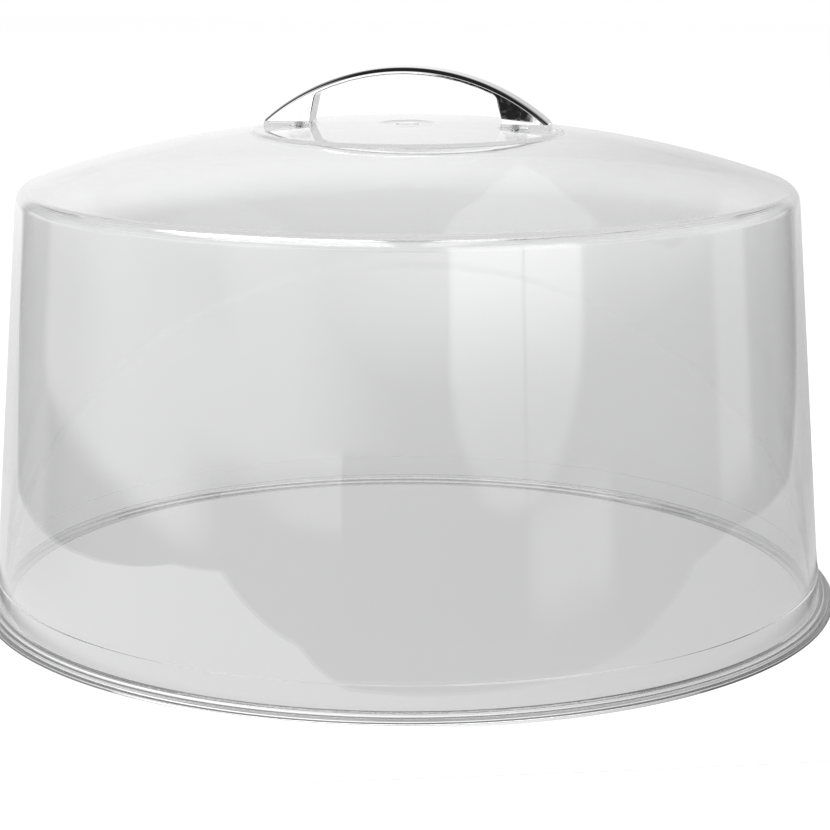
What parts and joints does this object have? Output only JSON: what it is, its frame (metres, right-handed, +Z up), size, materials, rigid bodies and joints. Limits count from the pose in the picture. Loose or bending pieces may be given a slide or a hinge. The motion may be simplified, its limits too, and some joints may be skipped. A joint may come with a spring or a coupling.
{
  "type": "cake dome",
  "caption": "Clear round cake cover with a tapered wall, stepped foot ring, shallow domed roof and a chromed bow handle screwed to its crown.",
  "frame": {"origin": "centre of the circle that the foot ring stands on, at the bottom of the cover", "axes": "+Z up along the axis of the cover; the bow handle runs along X, and its front and back faces look along -Y and +Y"},
  "size_m": [0.32, 0.32, 0.1952],
  "materials": {
    "clear_plastic": "clear, slightly grey moulded plastic, glossy on both faces",
    "chromed_metal": "mirror-bright chrome plate over a zinc casting",
    "plated_steel": "zinc-plated steel, satin"
  },
  "bodies": {
    "root": {"dome_cover": "clear_plastic", "bow_handle": "chromed_metal", "handle_screws": "plated_steel", "handle_washers": "plated_steel"}
  },
  "joints": []
}
